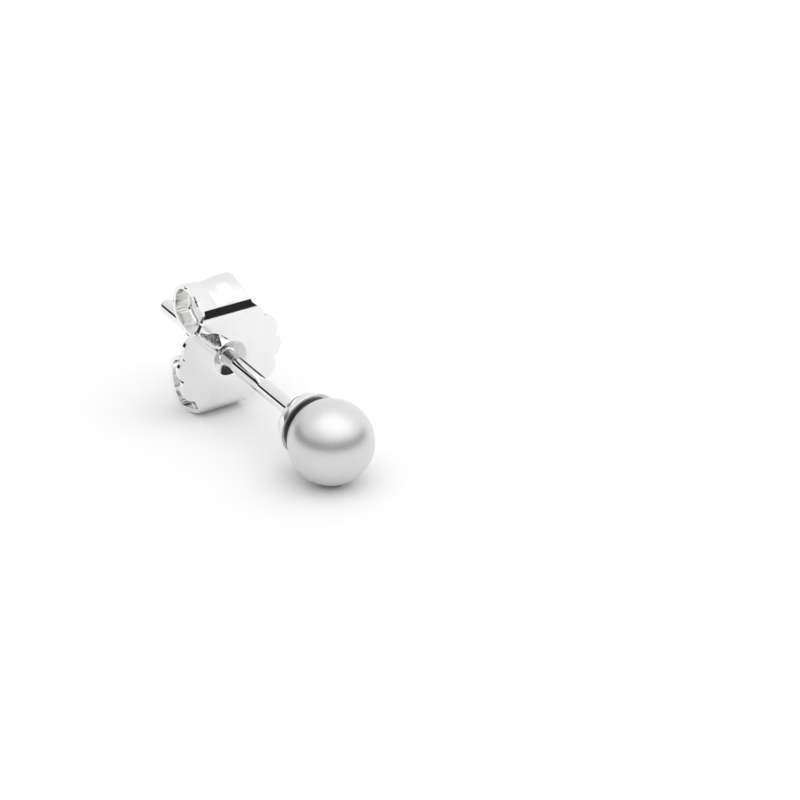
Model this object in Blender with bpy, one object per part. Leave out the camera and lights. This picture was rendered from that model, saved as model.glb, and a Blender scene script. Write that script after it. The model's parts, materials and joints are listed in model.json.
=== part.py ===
"""A stud earring off the ear: a round pearl on a soldered cup and post, with a pressed butterfly clutch.

It lies as it comes to rest by itself, on the pearl and on the clutch's lower roll. In the
modelling frame of the post, Y runs along the post from the pearl's centre to the tip, Z is up
and X is across. An empty at the pearl's centre tilts that frame onto the surface.
"""

import math

import bmesh
import bpy

MM = 0.001

# The pearl and its drilled hole
PEARL_RADIUS = 1.9 * MM
PEARL_HOLE_DEPTH = 1.42 * MM
PEG_CLEARANCE = 0.05 * MM
SEAT_GAP = 0.05 * MM

# The cup that the pearl sits in
CUP_RADIUS = 1.5 * MM
CUP_BACK_RADIUS = 1.33 * MM
CUP_WALL = 0.14 * MM
CUP_FLOOR = 0.25 * MM
CUP_BACK_EDGE = 0.1 * MM
CUP_TAPER = 20.0
DISH_EASE = 1.0 * MM

# The peg in the pearl, and the post behind the cup
PEG_RADIUS = 0.35 * MM
PEG_LENGTH = 1.25 * MM
POST_RADIUS = 0.38 * MM
POST_LENGTH = 11.42 * MM
SOLDER_FILLET = 0.19 * MM

# The clutch's place on the post, its sheet and its hole
LOBE_SPACE = 5.83 * MM
SHEET = 0.2 * MM
RUNNING_CLEARANCE = 0.05 * MM
DIMPLE_WIDTH = 0.48 * MM
DIMPLE_DEPTH = 0.26 * MM
DIMPLE_SOFT_RIM = 0.15
GROOVE_DEPTH = 0.19 * MM
GROOVE_HALF_WIDTH = 0.36 * MM

# The clutch's plate: two scalloped wings and two tabs
WING_RADIUS = 2.72 * MM
SCALLOP_DEPTH = 0.27 * MM
FOLD_HEIGHT = 2.09 * MM
FOLD_HALF_WIDTH = 1.58 * MM

# The clutch's two rolls
ROLL_HALF_WIDTH = 1.22 * MM
ROLL_SKEW = 0.12 * MM
ROLL_REACH = 2.77 * MM
UPPER_ROLL_HEIGHT = 3.12 * MM
LOWER_ROLL_HEIGHT = 3.08 * MM
UPPER_ROLL_CLEARANCE = 0.3 * MM
LOWER_ROLL_CLEARANCE = 0.23 * MM
NARROWING_LENGTH = 0.55 * MM
CHANNEL_HALF_WIDTH = 0.5 * MM
CHANNEL_FLANK = 0.22 * MM
CHANNEL_DEPTH = 0.13 * MM
CHANNEL_START = 0.75 * MM

# Angles of a wing's three scallops from its middle line, in degrees
SCALLOP_ENDS = (-45, -13, 13, 45)
SCALLOP_ROUNDNESS = 0.8

# Each roll's outer face from the fold to its highest point, and from there to its end.
# Columns: back, as a share of the reach; rise, from the fold's height to the roll's;
# drop, from the roll's height to its end beside the post.
UPPER_RISE = ((0.0, 0.0), (0.01, 0.18), (0.08, 0.55), (0.2, 0.67), (0.38, 0.85), (0.55, 0.98))
UPPER_DROP = (
    (0.66, 0.0),
    (0.79, 0.03),
    (0.88, 0.09),
    (0.95, 0.19),
    (0.985, 0.29),
    (1.0, 0.42),
    (0.995, 0.54),
    (0.98, 0.64),
    (0.94, 0.73),
    (0.87, 0.8),
    (0.78, 0.86),
    (0.66, 0.91),
    (0.52, 0.95),
    (0.34, 1.0),
)
LOWER_RISE = ((0.0, 0.0), (0.01, 0.18), (0.08, 0.5), (0.21, 0.69), (0.38, 0.88), (0.5, 0.97))
LOWER_DROP = (
    (0.6, 0.0),
    (0.71, 0.03),
    (0.82, 0.13),
    (0.91, 0.27),
    (0.966, 0.42),
    (0.995, 0.57),
    (1.0, 0.71),
    (0.97, 0.84),
    (0.9, 0.93),
    (0.8, 0.985),
    (0.67, 1.0),
    (0.53, 0.98),
    (0.41, 0.92),
)

# How finely the faces are cut
TURN_STEPS = 32
PEARL_STEPS = 24
DISH_STEPS = 5
EDGE_STEPS = 3
TIP_STEPS = 4
SCALLOP_STEPS = 6
TAB_STEPS = 3
FOLD_STEPS = 22
DIMPLE_STEPS = 3
PLATE_STEPS = 4
MERGE_DISTANCE = 1e-7

# Places along the post that follow from the sizes, measured from the pearl's centre
DISH_APEX = PEARL_RADIUS + SEAT_GAP
DISH_RADIUS = PEARL_RADIUS + DISH_EASE
DISH_CENTRE = DISH_APEX - DISH_RADIUS
CUP_BACK = DISH_APEX + CUP_FLOOR
POST_TIP = CUP_BACK + POST_LENGTH
CLUTCH_FACE = CUP_BACK + LOBE_SPACE
POST_HOLE_RADIUS = POST_RADIUS + RUNNING_CLEARANCE
DIMPLE_RADIUS = POST_HOLE_RADIUS + DIMPLE_WIDTH
VALLEY_RADIUS = WING_RADIUS - SCALLOP_DEPTH


def clear_scene():
    for obj in list(bpy.data.objects):
        bpy.data.objects.remove(obj, do_unlink=True)


def make_material(name, colour, roughness, metallic):
    material = bpy.data.materials.new(name)
    material.use_nodes = True
    shader = material.node_tree.nodes["Principled BSDF"]
    shader.inputs["Base Color"].default_value = (*colour, 1.0)
    shader.inputs["Roughness"].default_value = roughness
    shader.inputs["Metallic"].default_value = metallic
    material.diffuse_color = (*colour, 1.0)
    return material


def make_empty(name, parent=None):
    empty = bpy.data.objects.new(name, None)
    empty.empty_display_size = PEARL_RADIUS
    bpy.context.scene.collection.objects.link(empty)
    empty.parent = parent
    return empty


def add_object(name, bm, material, parent):
    mesh = bpy.data.meshes.new(name)
    bm.to_mesh(mesh)
    bm.free()
    mesh.shade_smooth()
    mesh.set_sharp_from_angle(angle=math.radians(35))
    mesh.materials.append(material)
    obj = bpy.data.objects.new(name, mesh)
    bpy.context.scene.collection.objects.link(obj)
    obj.parent = parent
    return obj


def arc(centre_radius, centre_along, size, start, end, steps):
    """Points (radius, along) round a centre, where angle 0 points outwards and 90 to the tip."""
    points = []
    for step in range(steps + 1):
        angle = math.radians(start + (end - start) * step / steps)
        radius = centre_radius + size * math.cos(angle)
        points.append((radius, centre_along + size * math.sin(angle)))
    return points


def turned(profile):
    """A closed turned body from (radius, along) points that start and end on the axis."""
    bm = bmesh.new()
    verts = [bm.verts.new((0.0, along, -radius)) for radius, along in profile]
    edges = [bm.edges.new(pair) for pair in zip(verts, verts[1:])]
    bmesh.ops.spin(
        bm,
        geom=verts + edges,
        cent=(0.0, 0.0, 0.0),
        axis=(0.0, 1.0, 0.0),
        angle=math.tau,
        steps=TURN_STEPS,
        use_merge=True,
    )
    bmesh.ops.remove_doubles(bm, verts=bm.verts, dist=MERGE_DISTANCE)
    bmesh.ops.recalc_face_normals(bm, faces=bm.faces)
    return bm


def angle_on(radius, size):
    """Angle in degrees on an arc about the axis of a ball of this size, where it has this radius."""
    return math.degrees(math.acos(radius / size))


def pearl_profile():
    hole_radius = PEG_RADIUS + PEG_CLEARANCE
    hole_floor = PEARL_RADIUS - PEARL_HOLE_DEPTH
    mouth = angle_on(hole_radius, PEARL_RADIUS)
    surface = arc(0.0, 0.0, PEARL_RADIUS, -90.0, mouth, PEARL_STEPS)
    surface[0] = (0.0, -PEARL_RADIUS)
    return surface + [(hole_radius, hole_floor), (0.0, hole_floor)]


def post_and_cup_profile():
    lip_radius = CUP_RADIUS - CUP_WALL
    peg_end = CUP_BACK - CUP_FLOOR - PEG_LENGTH
    peg_foot = angle_on(PEG_RADIUS, DISH_RADIUS)
    lip = angle_on(lip_radius, DISH_RADIUS)
    dish = arc(0.0, DISH_CENTRE, DISH_RADIUS, peg_foot, lip, DISH_STEPS)
    profile = [(0.0, peg_end), (PEG_RADIUS, peg_end)] + dish
    profile.append((CUP_RADIUS, dish[-1][1]))
    edge_radius = CUP_BACK_RADIUS - CUP_BACK_EDGE
    profile += arc(edge_radius, CUP_BACK - CUP_BACK_EDGE, CUP_BACK_EDGE, CUP_TAPER, 90.0, EDGE_STEPS)
    fillet_radius = POST_RADIUS + SOLDER_FILLET
    fillet_along = CUP_BACK + SOLDER_FILLET
    profile += arc(fillet_radius, fillet_along, SOLDER_FILLET, -90.0, -180.0, EDGE_STEPS)
    tip = arc(0.0, POST_TIP - POST_RADIUS, POST_RADIUS, 0.0, 90.0, TIP_STEPS)
    tip[-1] = (0.0, POST_TIP)
    return profile + tip


def roll_profile(rise, drop, height, end_height):
    """Points (back, height above the axis) of one roll's outer face, from the fold to its end."""
    points = []
    for back, share in rise:
        points.append((back * ROLL_REACH, FOLD_HEIGHT + share * (height - FOLD_HEIGHT)))
    for back, share in drop:
        points.append((back * ROLL_REACH, height - share * (height - end_height)))
    return points


def upper_roll():
    end_height = POST_RADIUS + UPPER_ROLL_CLEARANCE
    return roll_profile(UPPER_RISE, UPPER_DROP, UPPER_ROLL_HEIGHT, end_height)


def lower_roll():
    end_height = POST_RADIUS + LOWER_ROLL_CLEARANCE
    return roll_profile(LOWER_RISE, LOWER_DROP, LOWER_ROLL_HEIGHT, end_height)


def resting_tilt():
    """How far the post leans when the pearl and the lower roll both touch the surface."""
    tilts = []
    for back, height in lower_roll():
        along = CLUTCH_FACE + back
        reach = math.hypot(along, height)
        tilts.append(math.acos(PEARL_RADIUS / reach) - math.atan2(along, height))
    return max(tilts)


def smooth_step(value):
    value = min(max(value, 0.0), 1.0)
    return value * value * (3.0 - 2.0 * value)


def scallop(start, end):
    """Outline points (x, z) of one scallop, without its last."""
    points = []
    for step in range(SCALLOP_STEPS):
        share = step / SCALLOP_STEPS
        angle = math.radians(start + (end - start) * share)
        bulge = math.sin(math.pi * share) ** SCALLOP_ROUNDNESS
        radius = VALLEY_RADIUS + SCALLOP_DEPTH * bulge
        points.append((radius * math.cos(angle), radius * math.sin(angle)))
    return points


def tab_edge():
    """Outline points (x, z) from a wing's upper pinch to the fold, without the last."""
    pinch = VALLEY_RADIUS * math.cos(math.radians(SCALLOP_ENDS[-1]))
    points = []
    for step in range(TAB_STEPS):
        share = step / TAB_STEPS
        x = pinch + (FOLD_HALF_WIDTH - pinch) * share
        points.append((x, pinch + (FOLD_HEIGHT - pinch) * share))
    return points


def fold_line():
    """Outline points (x, z) along the upper fold from +X to -X, both ends included."""
    points = []
    for step in range(FOLD_STEPS + 1):
        x = FOLD_HALF_WIDTH * (1.0 - 2.0 * step / FOLD_STEPS)
        points.append((x, FOLD_HEIGHT))
    return points


def plate_outline():
    """The plate's outline anticlockwise as seen from the pearl, and where its two folds start."""
    half = []
    for start, end in zip(SCALLOP_ENDS, SCALLOP_ENDS[1:]):
        half += scallop(start, end)
    half += tab_edge()
    upper_fold = len(half)
    half += fold_line()
    for x, z in reversed(tab_edge()[1:]):
        half.append((-x, z))
    outline = half + [(-x, -z) for x, z in half]
    return outline, (upper_fold, upper_fold + len(half))


def dimple_depth(radius):
    """The dimple is a cone round the hole, with a soft rim."""
    inwards = (DIMPLE_RADIUS - radius) / DIMPLE_WIDTH
    slope = DIMPLE_DEPTH / (1.0 - DIMPLE_SOFT_RIM / 2.0)
    if inwards <= 0.0:
        return 0.0
    if inwards < DIMPLE_SOFT_RIM:
        return slope * inwards**2 / (2.0 * DIMPLE_SOFT_RIM)
    return slope * (inwards - DIMPLE_SOFT_RIM / 2.0)


def groove_depth(x, z):
    """The crease from the dimple out to the upper pinch on the -X side, deepest at the dimple."""
    if z <= 0.0 or x >= 0.0:
        return 0.0
    along = (z - x) * math.sqrt(0.5)
    off = abs(x + z) * math.sqrt(0.5)
    fade = min(max((VALLEY_RADIUS - along) / (VALLEY_RADIUS - DIMPLE_RADIUS), 0.0), 1.0)
    if fade == 0.0:
        return 0.0
    width = GROOVE_HALF_WIDTH * (0.4 + 0.6 * fade)
    return GROOVE_DEPTH * fade * max(0.0, 1.0 - off / width)


def plate_point(x, z):
    radius = math.hypot(x, z)
    return (x, max(dimple_depth(radius), groove_depth(x, z)), z)


def channel_depth(x, travel):
    across = smooth_step((CHANNEL_HALF_WIDTH - abs(x)) / CHANNEL_FLANK)
    return CHANNEL_DEPTH * across * smooth_step((travel - CHANNEL_START) / CHANNEL_FLANK)


def skin(bm, first, second, closed):
    """Quads between two rows of vertices."""
    count = len(first) if closed else len(first) - 1
    for index in range(count):
        after = (index + 1) % len(first)
        bm.faces.new((first[index], second[index], second[after], first[after]))


def add_plate(bm):
    """The plate from its hole to its outline. It returns the outline's vertices and the folds."""
    outline, folds = plate_outline()
    rows = []
    for step in range(DIMPLE_STEPS + 1):
        radius = POST_HOLE_RADIUS + DIMPLE_WIDTH * step / DIMPLE_STEPS
        row = []
        for x, z in outline:
            size = math.hypot(x, z)
            row.append(bm.verts.new(plate_point(x * radius / size, z * radius / size)))
        rows.append(row)
    for step in range(1, PLATE_STEPS + 1):
        share = step / PLATE_STEPS
        row = []
        for x, z in outline:
            size = math.hypot(x, z)
            scale = (DIMPLE_RADIUS + (size - DIMPLE_RADIUS) * share) / size
            row.append(bm.verts.new(plate_point(x * scale, z * scale)))
        rows.append(row)
    for inner, outer in zip(rows, rows[1:]):
        skin(bm, inner, outer, closed=True)
    return rows[-1], folds


def add_roll(bm, fold_row, profile, side, skew):
    """A strip rolled back from a fold, narrower than the fold and set over by its skew.

    side is 1 for the upper roll and -1 for the lower.
    """
    previous = fold_row
    travel = 0.0
    for index in range(1, len(profile)):
        before = profile[index - 1]
        here = profile[index]
        ahead = profile[min(index + 1, len(profile) - 1)]
        travel += math.hypot(here[0] - before[0], here[1] - before[1])
        run = (ahead[0] - before[0], ahead[1] - before[1])
        length = math.hypot(*run)
        inwards = (run[1] / length, -run[0] / length)
        narrowing = smooth_step(travel / NARROWING_LENGTH)
        half_width = FOLD_HALF_WIDTH + (ROLL_HALF_WIDTH - FOLD_HALF_WIDTH) * narrowing
        row = []
        for step in range(FOLD_STEPS + 1):
            x = side * half_width * (1.0 - 2.0 * step / FOLD_STEPS)
            depth = channel_depth(x, travel)
            back = here[0] + inwards[0] * depth
            height = here[1] + inwards[1] * depth
            row.append(bm.verts.new((x - skew * narrowing, back, side * height)))
        skin(bm, previous, row, closed=False)
        previous = row


def make_clutch(material, parent):
    bm = bmesh.new()
    outline, (upper_fold, lower_fold) = add_plate(bm)
    add_roll(bm, outline[upper_fold : upper_fold + FOLD_STEPS + 1], upper_roll(), 1, ROLL_SKEW)
    add_roll(bm, outline[lower_fold : lower_fold + FOLD_STEPS + 1], lower_roll(), -1, ROLL_SKEW)
    clutch = add_object("clutch_back", bm, material, parent)
    sheet = clutch.modifiers.new("sheet", "SOLIDIFY")
    sheet.thickness = SHEET
    sheet.offset = -1.0
    sheet.use_even_offset = True
    return clutch


def place_stud_axis(axis):
    """Stands the pearl on the surface, over the middle of the whole part's length."""
    tilt = resting_tilt()
    tip = (POST_TIP - POST_RADIUS) * math.cos(tilt) + POST_RADIUS
    axis.location = (0.0, (PEARL_RADIUS - tip) / 2.0, PEARL_RADIUS)
    axis.rotation_euler = (tilt, 0.0, 0.0)


def main():
    clear_scene()
    nacre = make_material("pearl_nacre", (0.85, 0.83, 0.79), 0.22, 0.0)
    silver = make_material("polished_silver", (0.82, 0.81, 0.79), 0.12, 1.0)
    sheet_silver = make_material("pressed_silver", (0.8, 0.79, 0.77), 0.2, 1.0)

    post_axis = make_empty("post_axis")
    place_stud_axis(post_axis)
    clutch_axis = make_empty("clutch_axis", post_axis)
    clutch_axis.location = (0.0, CLUTCH_FACE, 0.0)

    add_object("pearl", turned(pearl_profile()), nacre, post_axis)
    add_object("post_and_cup", turned(post_and_cup_profile()), silver, post_axis)
    make_clutch(sheet_silver, clutch_axis)


main()
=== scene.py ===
import json
import math

import bmesh
import bpy
from mathutils import Matrix, Vector


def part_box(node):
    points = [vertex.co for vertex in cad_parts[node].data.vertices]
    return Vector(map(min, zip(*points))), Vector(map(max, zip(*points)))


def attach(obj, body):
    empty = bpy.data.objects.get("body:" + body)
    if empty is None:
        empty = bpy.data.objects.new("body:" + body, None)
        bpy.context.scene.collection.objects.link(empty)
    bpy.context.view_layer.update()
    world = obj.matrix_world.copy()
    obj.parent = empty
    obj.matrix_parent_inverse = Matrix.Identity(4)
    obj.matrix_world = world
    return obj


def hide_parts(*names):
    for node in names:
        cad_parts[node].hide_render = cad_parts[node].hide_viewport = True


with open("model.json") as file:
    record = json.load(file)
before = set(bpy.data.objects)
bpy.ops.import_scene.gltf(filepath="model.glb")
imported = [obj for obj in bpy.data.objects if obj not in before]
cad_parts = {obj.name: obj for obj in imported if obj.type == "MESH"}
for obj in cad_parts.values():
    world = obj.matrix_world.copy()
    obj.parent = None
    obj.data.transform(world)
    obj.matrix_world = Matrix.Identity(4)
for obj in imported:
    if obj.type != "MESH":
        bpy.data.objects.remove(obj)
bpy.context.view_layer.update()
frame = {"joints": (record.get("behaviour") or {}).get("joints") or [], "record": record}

MM = 0.001

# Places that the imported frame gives
EAR_SEATS = {mount["name"]: Vector(mount["pos_m"]) for mount in frame["record"]["mounts"]}
POST_LINE = Vector(frame["joints"][0]["axis"])
POST_LEAN = math.atan2(POST_LINE.z, POST_LINE.y)
PEARL_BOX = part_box("pearl")
PEARL_RADIUS = (PEARL_BOX[1].x - PEARL_BOX[0].x) / 2.0
PLATE_CENTRE = Vector((0.0, EAR_SEATS["ear_seat_back"].y, EAR_SEATS["ear_seat_back"].z))
PEARL_CENTRE = PLATE_CENTRE - POST_LINE * ((PLATE_CENTRE.z - PEARL_RADIUS) / POST_LINE.z)
ON_THE_SURFACE = Matrix.Translation(PEARL_CENTRE) @ Matrix.Rotation(POST_LEAN, 4, "X")
CLUTCH_FACE = (PLATE_CENTRE - PEARL_CENTRE).length
CUP_BACK = (EAR_SEATS["ear_seat_front"] - PEARL_CENTRE).dot(POST_LINE)

# The pearl and its drilled hole
PEARL_HOLE_RADIUS = 0.4 * MM
PEARL_HOLE_DEPTH = 1.42 * MM
HOLE_MOUTH_BEVEL = 0.02 * MM
PEARL_SEGMENTS = 128
PEARL_RINGS = 96

# The cup, its peg and the post
CUP_RADIUS = 1.5 * MM
CUP_WALL = 0.14 * MM
CUP_FLOOR = 0.25 * MM
CUP_BACK_RADIUS = 1.33 * MM
CUP_BACK_EDGE = 0.1 * MM
CUP_TAPER = 20.0
DISH_EASE = 1.0 * MM
SEAT_GAP = 0.05 * MM
PEG_RADIUS = 0.35 * MM
PEG_LENGTH = 1.25 * MM
POST_RADIUS = 0.38 * MM
SOLDER_FILLET = 0.19 * MM
EDGE_BEVEL = 0.03 * MM
TURN_SIDES = 128
DISH_STEPS = 10
EDGE_STEPS = 6
FILLET_STEPS = 8
TIP_STEPS = 10
TIP_END = 84.0
TIP_CENTRE_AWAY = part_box("post_and_cup")[1].y - PEARL_CENTRE.y - POST_RADIUS
POST_TIP = TIP_CENTRE_AWAY / math.cos(POST_LEAN) + POST_RADIUS
DISH_RADIUS = PEARL_RADIUS + DISH_EASE
DISH_CENTRE = PEARL_RADIUS + SEAT_GAP - DISH_RADIUS

# The clutch: its sheet, the dimple round the hole and the trough beside it. What lies nearer the
# pearl than PLATE_FRONT is on the front of the flat plate.
SHEET = 0.2 * MM
PLATE_FRONT = CLUTCH_FACE + SHEET / 10.0
SHEET_BEVEL = 0.06 * MM
HOLE_RADIUS = POST_RADIUS + 0.05 * MM
DIMPLE_WIDTH = 0.48 * MM
DIMPLE_DEPTH = 0.26 * MM
DIMPLE_RADIUS = HOLE_RADIUS + DIMPLE_WIDTH
DIMPLE_SOFT_RIM = 0.15
DIMPLE_ROWS = 14
TROUGH_DEPTH = 0.3 * MM
TROUGH_RISER = 0.06 * MM
RISER_GRIP = 0.022 * MM

# The plate's outline: a fold corner stands at FOLD_CORNER degrees and the cusps between
# scallops at CUSPS degrees from the level line
WING_RADIUS = 2.72 * MM
SCALLOP_DEPTH = 0.27 * MM
SCALLOP_ROUNDNESS = 0.8
VALLEY_RADIUS = WING_RADIUS - SCALLOP_DEPTH
CUSPS = (-13, 13, 45)
FOLD_CORNER = 53
FOLD_HEIGHT = 2.09 * MM
FOLD_HALF_WIDTH = FOLD_HEIGHT / math.tan(math.radians(FOLD_CORNER))
PLATE_SIDES = 360
PLATE_ROWS = 40

# The two rolls
ROLL_HALF_WIDTH = 1.22 * MM
ROLL_SKEW = 0.12 * MM
ROLL_REACH = 2.77 * MM
NARROWING_LENGTH = 0.55 * MM
CHANNEL_DEPTH = 0.1 * MM
CHANNEL_START = 0.86 * MM
CHANNEL_FLANK = 0.08 * MM
ROLL_ROWS_PER_STEP = 3

# The channel pressed along the rolls. Columns: across the strip, as a share of half its width;
# depth, as a share of the channel's
CHANNEL_SECTION = ((-1.0, 0.0), (-0.42, 0.4), (-0.37, 1.0), (0.1, 0.75), (0.55, 0.0), (1.0, 0.0))

# The trough from the dimple to the near upper pinch. Columns, as shares of the valley radius:
# across, from the post; top and foot, the heights of its riser and of its lower edge; bank, how
# far its lower bank slopes; and its depth as a share
TROUGH = (
    (0.0, 0.36, 0.3, 0.12, 0.6),
    (0.085, 0.425, 0.32, 0.15, 1.05),
    (0.19, 0.505, 0.29, 0.19, 1.2),
    (0.2, 0.515, 0.29, 0.215, 0.87),
    (0.35, 0.6, 0.3, 0.3, 0.66),
    (0.5, 0.615, 0.45, 0.165, 0.45),
    (0.645, 0.68, 0.58, 0.1, 0.26),
    (0.707, 0.707, 0.706, 0.02, 0.0),
)

# Between these distances from the post the vertices near the riser's edges are moved onto them
RISER_SPAN = (DIMPLE_RADIUS * 1.02, VALLEY_RADIUS * 0.97)

# Tarnish and painted shade: a dark tone, in the near trough mostly painted reflection with some real
# tarnish and pits, in the dimple painted shade and reflection with some dirt. In the trough it starts
# at this share of the valley radius across from the post, and comes with the trough's depth at this
# rate; in the dimple it has this share, and fades over this width from the rim
TARNISH_AND_SHADE_START = 0.2
TARNISH_AND_SHADE_RATE = 4.0
DIMPLE_TARNISH_AND_SHADE = 0.2
TARNISH_AND_SHADE_FADE = DIMPLE_WIDTH / 3.0

# Each roll's outer face from the fold to its highest point, and from there to its end.
# Columns: back, as a share of the reach; rise, from the fold's height to the roll's;
# drop, from the roll's height to its end beside the post.
UPPER_ROLL = {
    "height": 3.12 * MM,
    "end": POST_RADIUS + 0.3 * MM,
    "rise": ((0.0, 0.0), (0.01, 0.18), (0.08, 0.55), (0.2, 0.67), (0.38, 0.85), (0.55, 0.98)),
    "drop": (
        (0.66, 0.0),
        (0.79, 0.03),
        (0.88, 0.09),
        (0.95, 0.19),
        (0.985, 0.29),
        (1.0, 0.42),
        (0.995, 0.54),
        (0.98, 0.64),
        (0.94, 0.73),
        (0.87, 0.8),
        (0.78, 0.86),
        (0.66, 0.91),
        (0.52, 0.95),
        (0.34, 1.0),
    ),
}
LOWER_ROLL = {
    "height": 3.08 * MM,
    "end": POST_RADIUS + 0.23 * MM,
    "rise": ((0.0, 0.0), (0.01, 0.18), (0.08, 0.5), (0.21, 0.69), (0.38, 0.88), (0.5, 0.97)),
    "drop": (
        (0.6, 0.0),
        (0.71, 0.03),
        (0.82, 0.13),
        (0.91, 0.27),
        (0.966, 0.42),
        (0.995, 0.57),
        (1.0, 0.71),
        (0.97, 0.84),
        (0.9, 0.93),
        (0.8, 0.985),
        (0.67, 1.0),
        (0.53, 0.98),
        (0.41, 0.92),
    ),
}
CRISP_CORNERS = 3


# Working by hand on one piece at a time

def drop_selection():
    if bpy.context.mode != "OBJECT":
        bpy.ops.object.mode_set(mode="OBJECT")
    bpy.ops.object.select_all(action="DESELECT")


def begin_piece(name):
    """Names the primitive that was just added, and opens it for work with its turn applied."""
    piece = bpy.context.object
    piece.name = name
    piece.data.name = name
    bpy.ops.object.transform_apply(location=True, rotation=True, scale=True)
    bpy.ops.object.mode_set(mode="EDIT")
    return piece


def pick(piece, kind, test):
    """Selects the vertices, edges or faces whose place passes the test."""
    bpy.ops.mesh.select_mode(type={"verts": "VERT", "edges": "EDGE", "faces": "FACE"}[kind])
    bpy.ops.mesh.select_all(action="DESELECT")
    work = bmesh.from_edit_mesh(piece.data)
    for part in getattr(work, kind):
        if test(part):
            part.select_set(True)
    work.select_flush_mode()
    bmesh.update_edit_mesh(piece.data)


def pull_out(x=0.0, y=0.0, z=0.0):
    """Extrudes what is selected and moves it."""
    bpy.ops.mesh.extrude_region_move(TRANSFORM_OT_translate={"value": (x, y, z)})


def stretch(across, along, up, centre):
    bpy.ops.transform.resize(value=(across, along, up), center_override=centre)


def apply_modifier(piece, name, kind, **settings):
    """Adds a modifier to the piece and applies it."""
    modifier = piece.modifiers.new(name, kind)
    for setting, value in settings.items():
        setattr(modifier, setting, value)
    bpy.ops.object.modifier_apply(modifier=modifier.name)


def round_edges(piece, width, angle, segments):
    apply_modifier(
        piece,
        "edges",
        "BEVEL",
        width=width,
        segments=segments,
        limit_method="ANGLE",
        angle_limit=math.radians(angle),
        harden_normals=False,
    )


def end_piece(piece, material, smooth_angle):
    """Shades the piece, sets it down with the place in its mesh, and gives it its finish."""
    if bpy.context.mode != "OBJECT":
        bpy.ops.object.mode_set(mode="OBJECT")
    bpy.ops.object.shade_smooth_by_angle(angle=math.radians(smooth_angle))
    piece.matrix_world = ON_THE_SURFACE
    bpy.context.view_layer.update()
    bpy.ops.object.transform_apply(location=True, rotation=True, scale=True)
    piece.data.materials.clear()
    piece.data.materials.append(material)
    return piece


def smooth_step(value):
    value = min(max(value, 0.0), 1.0)
    return value * value * (3.0 - 2.0 * value)


def arc(centre_radius, centre_along, size, start, end, steps):
    """Stations (radius, along) round a centre, where angle 0 points outwards and 90 to the tip."""
    stations = []
    for step in range(steps + 1):
        angle = math.radians(start + (end - start) * step / steps)
        radius = centre_radius + size * math.cos(angle)
        stations.append((radius, centre_along + size * math.sin(angle)))
    return stations


# The pearl

def make_pearl(material):
    drop_selection()
    bpy.ops.mesh.primitive_uv_sphere_add(
        segments=PEARL_SEGMENTS,
        ring_count=PEARL_RINGS,
        radius=PEARL_RADIUS,
        rotation=(-math.pi / 2.0, 0.0, 0.0),
    )
    pearl = begin_piece("drilled_pearl")
    mouth = math.sqrt(PEARL_RADIUS**2 - PEARL_HOLE_RADIUS**2)
    bpy.ops.mesh.select_all(action="SELECT")
    bpy.ops.mesh.bisect(
        plane_co=(0.0, mouth, 0.0),
        plane_no=(0.0, 1.0, 0.0),
        use_fill=True,
        clear_outer=True,
    )
    pick(pearl, "faces", lambda face: face.normal.y > 0.99 and len(face.verts) > 4)
    pull_out(y=-PEARL_HOLE_DEPTH)
    on_mouth = mouth - HOLE_MOUTH_BEVEL / 10.0
    pick(pearl, "edges", lambda edge: all(vert.co.y > on_mouth for vert in edge.verts))
    bpy.ops.mesh.bevel(offset=HOLE_MOUTH_BEVEL, segments=2, affect="EDGES", clamp_overlap=True)
    bpy.ops.object.mode_set(mode="OBJECT")
    return end_piece(pearl, material, smooth_angle=40.0)


# The post, its cup and its peg

def angle_on(radius, size):
    """Angle in degrees on an arc about the axis of a ball of this size, where it has this radius."""
    return math.degrees(math.acos(radius / size))


def turned_stations():
    """Stations (radius, along) from the peg's end, round the cup, to the post's tip."""
    lip_radius = CUP_RADIUS - CUP_WALL
    peg_foot = angle_on(PEG_RADIUS, DISH_RADIUS)
    dish_lip = angle_on(lip_radius, DISH_RADIUS)
    dish = arc(0.0, DISH_CENTRE, DISH_RADIUS, peg_foot, dish_lip, DISH_STEPS)
    stations = dish + [(CUP_RADIUS, dish[-1][1])]
    edge_radius = CUP_BACK_RADIUS - CUP_BACK_EDGE
    edge_along = CUP_BACK - CUP_BACK_EDGE
    stations += arc(edge_radius, edge_along, CUP_BACK_EDGE, CUP_TAPER, 90.0, EDGE_STEPS)
    fillet_along = CUP_BACK + SOLDER_FILLET
    fillet_radius = POST_RADIUS + SOLDER_FILLET
    stations += arc(fillet_radius, fillet_along, SOLDER_FILLET, -90.0, -180.0, FILLET_STEPS)
    return stations + arc(0.0, POST_TIP - POST_RADIUS, POST_RADIUS, 0.0, TIP_END, TIP_STEPS)


def make_post_and_cup(material):
    drop_selection()
    peg_end = CUP_BACK - CUP_FLOOR - PEG_LENGTH
    bpy.ops.mesh.primitive_circle_add(
        vertices=TURN_SIDES,
        radius=PEG_RADIUS,
        fill_type="NGON",
        location=(0.0, peg_end, 0.0),
        rotation=(math.pi / 2.0, 0.0, 0.0),
    )
    post = begin_piece("post_with_cup")
    bpy.ops.mesh.select_mode(type="FACE")
    bpy.ops.mesh.select_all(action="SELECT")
    radius_now, along_now = PEG_RADIUS, peg_end
    for radius, along in turned_stations():
        pull_out(y=along - along_now)
        share = radius / radius_now
        stretch(share, 1.0, share, (0.0, along, 0.0))
        radius_now, along_now = radius, along
    bpy.ops.mesh.merge(type="CENTER")
    bpy.ops.mesh.select_all(action="SELECT")
    bpy.ops.mesh.normals_make_consistent(inside=False)
    bpy.ops.object.mode_set(mode="OBJECT")
    round_edges(post, EDGE_BEVEL, angle=40.0, segments=3)
    return end_piece(post, material, smooth_angle=30.0)


# The clutch

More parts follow.
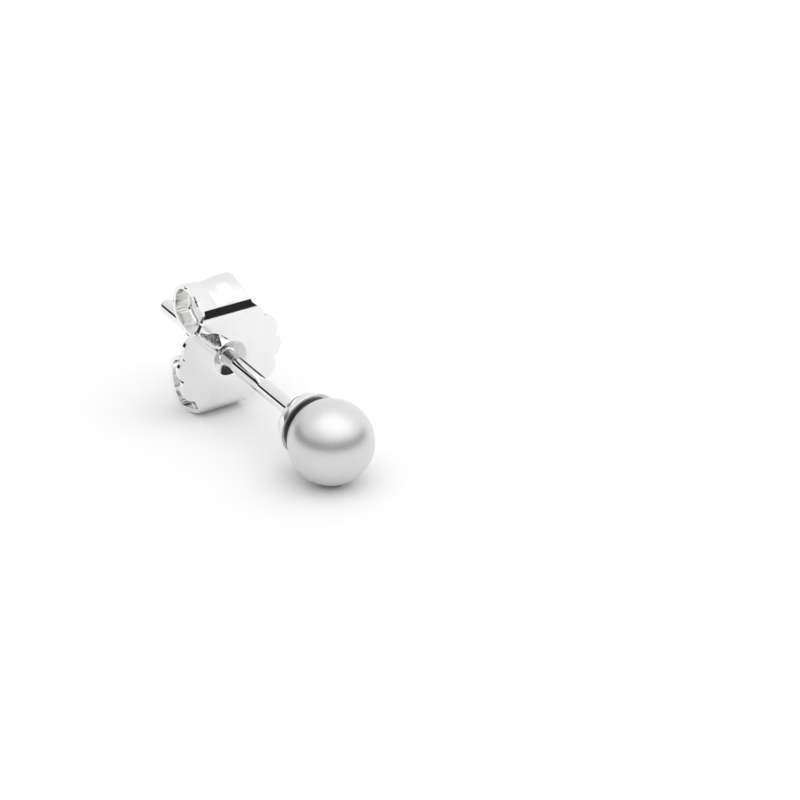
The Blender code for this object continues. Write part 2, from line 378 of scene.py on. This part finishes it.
def outline_reach(angle):
    """Distance from the post's axis to the plate's outline, for an angle from 0 to 90 degrees."""
    if angle >= FOLD_CORNER:
        return FOLD_HEIGHT / math.sin(math.radians(angle))
    if angle >= CUSPS[-1]:
        cusp = Vector((math.cos(math.radians(CUSPS[-1])), math.sin(math.radians(CUSPS[-1]))))
        start = cusp * VALLEY_RADIUS
        run = Vector((FOLD_HALF_WIDTH, FOLD_HEIGHT)) - start
        ray = Vector((math.cos(math.radians(angle)), math.sin(math.radians(angle))))
        return (start.x * run.y - start.y * run.x) / (ray.x * run.y - ray.y * run.x)
    start, end = (CUSPS[0], CUSPS[1]) if angle < CUSPS[1] else (CUSPS[1], CUSPS[2])
    share = (angle - start) / (end - start)
    return VALLEY_RADIUS + SCALLOP_DEPTH * math.sin(math.pi * share) ** SCALLOP_ROUNDNESS


def roll_line(roll):
    """Points (back, height above the axis) along a roll's outer face, crisp near the fold."""
    marks = []
    for back, share in roll["rise"]:
        marks.append((back * ROLL_REACH, FOLD_HEIGHT + share * (roll["height"] - FOLD_HEIGHT)))
    for back, share in roll["drop"]:
        marks.append((back * ROLL_REACH, roll["height"] - share * (roll["height"] - roll["end"])))
    marks = [Vector(mark) for mark in marks]
    line = []
    for index in range(len(marks) - 1):
        here, there = marks[index], marks[index + 1]
        crisp = index < CRISP_CORNERS - 1
        before = here + here - there if index == CRISP_CORNERS - 1 else marks[max(index - 1, 0)]
        after = marks[min(index + 2, len(marks) - 1)]
        for step in range(ROLL_ROWS_PER_STEP):
            share = step / ROLL_ROWS_PER_STEP
            if crisp:
                line.append(here.lerp(there, share))
                continue
            sway = (2.0 * before - 5.0 * here + 4.0 * there - after) * share**2
            twist = (3.0 * here - before - 3.0 * there + after) * share**3
            line.append(here + 0.5 * ((there - before) * share + sway + twist))
    return line + [marks[-1]]


def extrude_roll(clutch, roll, side):
    """Pulls the strip back from one fold, row by row. side is 1 for the upper roll, -1 for the lower."""
    on_fold = FOLD_HEIGHT - SHEET / 100.0
    pick(
        clutch,
        "edges",
        lambda edge: all(
            side * vert.co.z > on_fold and abs(vert.co.x) < FOLD_HALF_WIDTH * 1.001
            for vert in edge.verts
        ),
    )
    line = roll_line(roll)
    travel = 0.0
    width_now, skew_now = FOLD_HALF_WIDTH, 0.0
    for before, here in zip(line, line[1:]):
        travel += (here - before).length
        narrowing = smooth_step(travel / NARROWING_LENGTH)
        width = FOLD_HALF_WIDTH + (ROLL_HALF_WIDTH - FOLD_HALF_WIDTH) * narrowing
        skew = -ROLL_SKEW * narrowing
        pull_out(skew - skew_now, here.x - before.x, side * (here.y - before.y))
        stretch(width / width_now, 1.0, 1.0, (skew, CLUTCH_FACE + here.x, side * here.y))
        width_now, skew_now = width, skew


def along_table(table, value):
    """The other columns of a table at a value of its first, in straight steps between its rows."""
    for before, after in zip(table, table[1:]):
        if before[0] <= value <= after[0]:
            share = (value - before[0]) / (after[0] - before[0])
            return [a + (b - a) * share for a, b in zip(before[1:], after[1:])]
    return None


def trough_share(place):
    """How deep the trough from the dimple to the near upper pinch is here, as a share of its depth."""
    found = along_table(TROUGH, -place.x / VALLEY_RADIUS)
    radius = math.hypot(place.x, place.z)
    if not found or place.z <= 0.0 or radius < DIMPLE_RADIUS or place.y > PLATE_FRONT:
        return 0.0
    top, foot, bank, depth = found
    foot = max(foot * VALLEY_RADIUS, math.sqrt(max(DIMPLE_RADIUS**2 - place.x**2, 0.0)))
    top *= VALLEY_RADIUS
    if not foot < place.z < top + TROUGH_RISER:
        return 0.0
    bank_share = min((place.z - foot) / (bank * VALLEY_RADIUS), 1.0)
    riser_share = min((top + TROUGH_RISER - place.z) / TROUGH_RISER, 1.0)
    return depth * bank_share * riser_share


def true_up_riser(clutch):
    """Moves the vertices nearest the two edges of the trough's riser onto them, so that it is clean."""
    for vert in clutch.data.vertices:
        place = vert.co
        found = along_table(TROUGH, -place.x / VALLEY_RADIUS)
        on_plate = place.z > 0.0 and place.y < PLATE_FRONT
        inside = RISER_SPAN[0] < math.hypot(place.x, place.z) < RISER_SPAN[1]
        if not (found and on_plate and inside):
            continue
        top = found[0] * VALLEY_RADIUS
        edge = min((top, top + TROUGH_RISER), key=lambda height: abs(height - place.z))
        if abs(edge - place.z) < RISER_GRIP:
            place.z = edge


def channel_share(place):
    """How deep the channel along the rolls is here, as a share of its depth."""
    back, height = place.y - CLUTCH_FACE, abs(place.z) - FOLD_HEIGHT
    if height < 0.0 and back < CHANNEL_START:
        return 0.0
    found = along_table(CHANNEL_SECTION, (place.x + ROLL_SKEW) / ROLL_HALF_WIDTH)
    return (found[0] if found else 0.0) * smooth_step((back + height - CHANNEL_START) / CHANNEL_FLANK)


def tarnish_and_shade_share(place):
    """How dull, pitted and dark the silver is here: in the near trough, where the dark is mostly painted
    reflection with some real tarnish, and a little in the dimple, where it is painted shade with some
    dirt.
    """
    back = place.y - CLUTCH_FACE
    radius = math.hypot(place.x, place.z)
    if back > DIMPLE_DEPTH + SHEET or radius > VALLEY_RADIUS:
        return 0.0
    if radius < DIMPLE_RADIUS:
        return DIMPLE_TARNISH_AND_SHADE * smooth_step((DIMPLE_RADIUS - radius) / TARNISH_AND_SHADE_FADE)
    depth = trough_share(Vector((place.x, CLUTCH_FACE, place.z)))
    behind = back > depth * TROUGH_DEPTH + SHEET / 2.0
    if behind or place.x > -TARNISH_AND_SHADE_START * VALLEY_RADIUS:
        return 0.0
    return min(depth * TARNISH_AND_SHADE_RATE, 1.0)


def dimple_share(share):
    """The dimple's depth as a share, from 1 at the hole to 0 at its rim: a cone with a soft rim."""
    inwards = 1.0 - share
    full = 1.0 - DIMPLE_SOFT_RIM / 2.0
    if inwards < DIMPLE_SOFT_RIM:
        return inwards**2 / (2.0 * DIMPLE_SOFT_RIM) / full
    return (inwards - DIMPLE_SOFT_RIM / 2.0) / full


def press_in(clutch, name, share_at, depth, direction):
    """Presses the sheet in by a depth, weighted by place."""
    group = clutch.vertex_groups.new(name=name)
    for vert in clutch.data.vertices:
        share = share_at(vert.co)
        if share > 0.0:
            group.add([vert.index], share, "REPLACE")
    apply_modifier(
        clutch,
        name,
        "DISPLACE",
        strength=depth,
        mid_level=0.0,
        direction=direction,
        vertex_group=name,
    )


def make_clutch(material):
    drop_selection()
    bpy.ops.mesh.primitive_circle_add(
        vertices=PLATE_SIDES,
        radius=HOLE_RADIUS,
        location=(0.0, CLUTCH_FACE + DIMPLE_DEPTH, 0.0),
        rotation=(math.pi / 2.0, 0.0, 0.0),
    )
    clutch = begin_piece("butterfly_clutch")
    bpy.ops.mesh.select_mode(type="EDGE")
    bpy.ops.mesh.select_all(action="SELECT")
    radius_now, depth_now = HOLE_RADIUS, DIMPLE_DEPTH
    for row in range(1, DIMPLE_ROWS + 1):
        share = row / DIMPLE_ROWS
        radius = HOLE_RADIUS + DIMPLE_WIDTH * share
        depth = DIMPLE_DEPTH * dimple_share(share)
        pull_out(y=depth - depth_now)
        stretch(radius / radius_now, 1.0, radius / radius_now, (0.0, CLUTCH_FACE + depth, 0.0))
        radius_now, depth_now = radius, depth

    bpy.ops.mesh.duplicate_move()
    stretch(VALLEY_RADIUS / radius_now, 1.0, VALLEY_RADIUS / radius_now, (0.0, CLUTCH_FACE, 0.0))
    step = 360 // PLATE_SIDES
    for angle in range(0, 91, step):
        reach = outline_reach(angle)
        level = math.cos(math.radians(angle)) * VALLEY_RADIUS
        upright = math.sin(math.radians(angle)) * VALLEY_RADIUS
        near = SHEET / 50.0
        pick(
            clutch,
            "verts",
            lambda vert: abs(abs(vert.co.x) - level) < near and abs(abs(vert.co.z) - upright) < near,
        )
        stretch(reach / VALLEY_RADIUS, 1.0, reach / VALLEY_RADIUS, (0.0, CLUTCH_FACE, 0.0))

    def on_a_border(edge):
        return edge.is_wire or (edge.is_boundary and edge.verts[0].co.y < PLATE_FRONT)

    pick(clutch, "edges", on_a_border)
    bpy.ops.mesh.bridge_edge_loops(number_cuts=PLATE_ROWS, interpolation="LINEAR")
    extrude_roll(clutch, UPPER_ROLL, 1)
    extrude_roll(clutch, LOWER_ROLL, -1)
    bpy.ops.mesh.select_all(action="SELECT")
    bpy.ops.mesh.normals_make_consistent(inside=False)
    bpy.ops.object.mode_set(mode="OBJECT")
    facing = sum(face.normal.y for face in clutch.data.polygons if face.center.y < PLATE_FRONT)
    if facing > 0.0:
        clutch.data.flip_normals()
    true_up_riser(clutch)
    press_in(clutch, "troughs", trough_share, TROUGH_DEPTH, "Y")
    press_in(clutch, "channels", channel_share, -CHANNEL_DEPTH, "NORMAL")
    apply_modifier(
        clutch,
        "sheet",
        "SOLIDIFY",
        thickness=SHEET,
        offset=-1.0,
    )
    round_edges(clutch, SHEET_BEVEL, angle=50.0, segments=3)
    # The tarnish share stored here paints a dark tone: in the near trough mostly painted reflection, in
    # the dimple painted shade, each with some real tarnish
    tarnish = clutch.data.attributes.new("tarnish", "FLOAT", "POINT")
    shares = [tarnish_and_shade_share(vert.co) for vert in clutch.data.vertices]
    tarnish.data.foreach_set("value", shares)
    return end_piece(clutch, material, smooth_angle=32.0)


# Finishes: the tones that each one drifts between, the nacre's shade along its growth rings and
# the dark tone on the sheet, painted reflection and shade with some real tarnish

NACRE_TONES = ((0.71, 0.71, 0.705), (0.745, 0.74, 0.735))
NACRE_SHADE = (0.695, 0.7, 0.695)
SILVER_TONES = ((0.88, 0.878, 0.872), (0.84, 0.838, 0.832))
SHEET_TONES = ((0.885, 0.883, 0.879), (0.855, 0.853, 0.849))
TARNISH_AND_SHADE_TONE = (0.045, 0.045, 0.045)
FLOOR_TONES = ((0.92, 0.92, 0.92), (0.93, 0.93, 0.93))

def new_finish(name):
    material = bpy.data.materials.new(name)
    material.use_nodes = True
    tree = material.node_tree
    return material, tree, tree.nodes["Principled BSDF"]


def place_on_post(tree):
    """The place on the piece in the post's own directions: Y along the post from the pearl's centre."""
    where = tree.nodes.new("ShaderNodeTexCoord")
    turn = tree.nodes.new("ShaderNodeMapping")
    turn.vector_type = "TEXTURE"
    turn.inputs["Location"].default_value = PEARL_CENTRE
    turn.inputs["Rotation"].default_value = (POST_LEAN, 0.0, 0.0)
    tree.links.new(where.outputs["Object"], turn.inputs["Vector"])
    return turn.outputs["Vector"]


def grain(tree, place, size, detail=3.0, stretch_by=(1.0, 1.0, 1.0)):
    """A noise whose features are about this size."""
    scale = tree.nodes.new("ShaderNodeMapping")
    scale.inputs["Scale"].default_value = stretch_by
    noise = tree.nodes.new("ShaderNodeTexNoise")
    noise.inputs["Scale"].default_value = 1.0 / size
    noise.inputs["Detail"].default_value = detail
    tree.links.new(place, scale.inputs["Vector"])
    tree.links.new(scale.outputs["Vector"], noise.inputs["Vector"])
    return noise.outputs["Fac"]


def remap(tree, value, from_low, from_high, to_low, to_high):
    node = tree.nodes.new("ShaderNodeMapRange")
    node.inputs["From Min"].default_value = from_low
    node.inputs["From Max"].default_value = from_high
    node.inputs["To Min"].default_value = to_low
    node.inputs["To Max"].default_value = to_high
    tree.links.new(value, node.inputs["Value"])
    return node.outputs["Result"]


def soften(tree, value, from_low, from_high, to_low, to_high):
    """A smooth step of the value from one level to another."""
    result = remap(tree, value, from_low, from_high, to_low, to_high)
    result.node.interpolation_type = "SMOOTHSTEP"
    return result


def mix_tones(tree, share, first, second):
    node = tree.nodes.new("ShaderNodeMix")
    tree.links.new(share, node.inputs["Factor"])
    for socket, tone in ((node.inputs["A"], first), (node.inputs["B"], second)):
        if isinstance(tone, float):
            socket.default_value = tone
        else:
            tree.links.new(tone, socket)
    return node.outputs["Result"]


def blend_colours(tree, share, first, second):
    node = tree.nodes.new("ShaderNodeMix")
    node.data_type = "RGBA"
    tree.links.new(share, node.inputs["Factor"])
    for socket, colour in ((node.inputs["A"], first), (node.inputs["B"], second)):
        if isinstance(colour, tuple):
            socket.default_value = (*colour, 1.0)
        else:
            tree.links.new(colour, socket)
    return node.outputs["Result"]


def combine(tree, operation, first, second):
    node = tree.nodes.new("ShaderNodeMath")
    node.operation = operation
    for socket, value in zip(node.inputs, (first, second)):
        if isinstance(value, (int, float)):
            socket.default_value = value
        else:
            tree.links.new(value, socket)
    return node.outputs["Value"]


def relief(tree, shader, height, strength, depth):
    bump = tree.nodes.new("ShaderNodeBump")
    bump.inputs["Strength"].default_value = strength
    bump.inputs["Distance"].default_value = depth
    tree.links.new(height, bump.inputs["Height"])
    tree.links.new(bump.outputs["Normal"], shader.inputs["Normal"])


def make_nacre():
    material, tree, shader = new_finish("nacre")
    place = place_on_post(tree)
    cloud = grain(tree, place, 1.3 * MM, 4.0)
    warm = blend_colours(tree, remap(tree, cloud, 0.35, 0.65, 0.0, 1.0), *NACRE_TONES)
    rings = grain(tree, place, 0.35 * MM, 2.0, (1.0, 4.0, 1.0))
    colour = blend_colours(tree, remap(tree, rings, 0.3, 0.7, 0.0, 0.35), warm, NACRE_SHADE)
    tree.links.new(colour, shader.inputs["Base Color"])
    shader.inputs["Metallic"].default_value = 0.62
    tree.links.new(remap(tree, cloud, 0.3, 0.7, 0.3, 0.34), shader.inputs["Roughness"])
    relief(tree, shader, grain(tree, place, 0.8 * MM, 1.0), 0.1, 0.01 * MM)
    return material


def make_silver():
    material, tree, shader = new_finish("polished_silver")
    place = place_on_post(tree)
    haze = grain(tree, place, 0.6 * MM, 4.0)
    drawn = grain(tree, place, 0.09 * MM, 2.0, (1.0, 0.08, 1.0))
    colour = blend_colours(tree, remap(tree, haze, 0.4, 0.65, 0.0, 1.0), *SILVER_TONES)
    tree.links.new(colour, shader.inputs["Base Color"])
    shader.inputs["Metallic"].default_value = 1.0
    tree.links.new(remap(tree, haze, 0.3, 0.7, 0.03, 0.07), shader.inputs["Roughness"])
    relief(tree, shader, drawn, 0.08, 0.004 * MM)
    return material


def make_sheet_silver():
    material, tree, shader = new_finish("pressed_silver")
    place = place_on_post(tree)
    haze = grain(tree, place, 0.7 * MM, 4.0)
    scratches = grain(tree, place, 0.06 * MM, 3.0, (1.0, 1.0, 0.15))
    pits = grain(tree, place, 0.07 * MM, 4.0)
    bright = blend_colours(tree, remap(tree, haze, 0.4, 0.65, 0.0, 1.0), *SHEET_TONES)
    # Tarnish and painted shade: the dark tone mixed in by the tarnish share is painted reflection and
    # shade, with some real tarnish; the same share roughens and pits the silver
    where = tree.nodes.new("ShaderNodeAttribute")
    where.attribute_name = "tarnish"
    spots = remap(tree, pits, 0.47, 0.6, 1.0, 0.5)
    tarnish_and_shade_factor = combine(tree, "MULTIPLY", where.outputs["Fac"], spots)
    colour = blend_colours(tree, tarnish_and_shade_factor, bright, TARNISH_AND_SHADE_TONE)
    tree.links.new(colour, shader.inputs["Base Color"])
    shader.inputs["Metallic"].default_value = 1.0
    polish = remap(tree, haze, 0.3, 0.7, 0.08, 0.15)
    dulling = combine(tree, "MULTIPLY", tarnish_and_shade_factor, 0.25)
    tree.links.new(combine(tree, "ADD", polish, dulling), shader.inputs["Roughness"])
    pitted = combine(tree, "MULTIPLY", pits, remap(tree, where.outputs["Fac"], 0.0, 1.0, 0.3, 8.0))
    relief(tree, shader, combine(tree, "ADD", scratches, pitted), 0.2, 0.004 * MM)
    return material


def make_floor_finish():
    material, tree, shader = new_finish("pale_floor")
    place = place_on_post(tree)
    mottle = grain(tree, place, 40.0 * MM, 2.0)
    colour = blend_colours(tree, mottle, *FLOOR_TONES)
    tree.links.new(colour, shader.inputs["Base Color"])
    shader.inputs["Roughness"].default_value = 0.9
    shader.inputs["Specular IOR Level"].default_value = 0.0
    return material


# The set: floor, light and camera

FLOOR_HALF_SIDE = 0.8

# The soft dome overhead: how far it reaches to the sides, towards the camera and away from it, and
# where its middle stands, as tangents of the angle from straight up; where its fall begins and
# ends, in those reaches; the sine of the height below which it spreads no further; its tones in
# the middle and low down; and how much the low tone gains from the middle to the right
DOME_REACH = 1.05
DOME_NEAR_REACH = 0.95
DOME_FAR_REACH = 0.57
DOME_MIDDLE = (0.3, -0.25)
DOME_FALL = (0.4, 1.5)
DOME_FOOT = 0.05
DOME_TONE = 1.68
SWEEP_TONE = 0.95
SWEEP_LEAN = 0.14

# The dark room low down on the camera's side: its tone, the sines of the heights where it ends at
# its sides and how much more it rises in the middle, the direction of its middle, and the cosines
# of the turns from there where it ends
ROOM_TONE = 0.02
ROOM_TOP = (0.29, 0.37)
ROOM_RISE = 0.09
ROOM_MIDDLE = math.radians(-6.0)
ROOM_SIDES = (-0.28, -0.75)

# Where the pearl's centre stands from the camera, in pearl radii: right, away and up in the
# picture's own directions, which are turned CAMERA_AZIMUTH from the part's
CAMERA_AZIMUTH = math.radians(35.45)
CAMERA_PITCH = math.radians(25.5)
PEARL_FROM_CAMERA = Vector((-1.561, 65.993, -32.530))
LENS_MM = 146.3
SENSOR_MM = 36.0


def picture_turn():
    """Turns the picture's directions (right, away, up) into the part's."""
    return Matrix.Rotation(-CAMERA_AZIMUTH, 3, "Z")


def make_floor():
    drop_selection()
    bpy.ops.mesh.primitive_plane_add(size=2.0 * FLOOR_HALF_SIDE)
    floor = begin_piece("floor")
    bpy.ops.object.mode_set(mode="OBJECT")
    floor.data.materials.append(make_floor_finish())


def make_studio():
    """The light all round: a soft dome, brightest overhead, with a dark room on the camera's side."""
    world = bpy.data.worlds.new("studio")
    world.use_nodes = True
    tree = world.node_tree
    where = tree.nodes.new("ShaderNodeTexCoord")
    turn = tree.nodes.new("ShaderNodeMapping")
    turn.inputs["Rotation"].default_value = (0.0, 0.0, CAMERA_AZIMUTH)
    split = tree.nodes.new("ShaderNodeSeparateXYZ")
    tree.links.new(where.outputs["Generated"], turn.inputs["Vector"])
    tree.links.new(turn.outputs["Vector"], split.inputs["Vector"])
    right, away, up = (split.outputs[axis] for axis in "XYZ")

    height = combine(tree, "MAXIMUM", up, DOME_FOOT)
    across, deep = (
        combine(tree, "SUBTRACT", combine(tree, "DIVIDE", way, height), middle)
        for way, middle in zip((right, away), DOME_MIDDLE)
    )
    across = combine(tree, "DIVIDE", across, DOME_REACH)
    nearer = combine(tree, "DIVIDE", deep, -DOME_NEAR_REACH)
    deep = combine(tree, "MAXIMUM", nearer, combine(tree, "DIVIDE", deep, DOME_FAR_REACH))
    spread = combine(tree, "ADD", combine(tree, "POWER", across, 2.0), combine(tree, "POWER", deep, 2.0))
    low = soften(tree, combine(tree, "POWER", spread, 0.5), *DOME_FALL, 0.0, 1.0)
    sweep = combine(tree, "ADD", combine(tree, "MULTIPLY", right, SWEEP_LEAN), SWEEP_TONE)
    dome = mix_tones(tree, low, DOME_TONE, sweep)

    level = combine(tree, "SUBTRACT", 1.0, combine(tree, "POWER", up, 2.0))
    level = combine(tree, "MAXIMUM", level, 0.0001)
    towards = combine(tree, "MULTIPLY", right, math.sin(ROOM_MIDDLE))
    towards = combine(tree, "SUBTRACT", towards, combine(tree, "MULTIPLY", away, math.cos(ROOM_MIDDLE)))
    facing = combine(tree, "DIVIDE", towards, combine(tree, "POWER", level, 0.5))
    behind = soften(tree, facing, *ROOM_SIDES, 0.0, 1.0)
    over_room = combine(tree, "SUBTRACT", up, combine(tree, "MULTIPLY", facing, ROOM_RISE))
    above = soften(tree, over_room, *ROOM_TOP, 0.0, 1.0)
    clear = combine(tree, "MAXIMUM", behind, above)
    tone = mix_tones(tree, clear, ROOM_TONE, dome)
    tree.links.new(tone, tree.nodes["Background"].inputs["Color"])
    bpy.context.scene.world = world


def make_camera():
    lens = bpy.data.cameras.new("camera")
    lens.lens = LENS_MM
    lens.sensor_width = SENSOR_MM
    lens.clip_start = 1.0 * MM
    lens.clip_end = 10.0
    camera = bpy.data.objects.new("camera", lens)
    camera.location = PEARL_CENTRE - picture_turn() @ PEARL_FROM_CAMERA * PEARL_RADIUS
    camera.rotation_euler = (math.pi / 2.0 - CAMERA_PITCH, 0.0, -CAMERA_AZIMUTH)
    bpy.context.scene.collection.objects.link(camera)
    bpy.context.scene.camera = camera


# Making the set and the three pieces

bpy.context.scene.view_settings.view_transform = "Standard"
make_camera()
make_studio()
make_floor()

pearl = make_pearl(make_nacre())
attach(pearl, "stud")
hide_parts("pearl")

post = make_post_and_cup(make_silver())
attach(post, "stud")
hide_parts("post_and_cup")

clutch = make_clutch(make_sheet_silver())
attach(clutch, "clutch")
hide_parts("clutch_back")
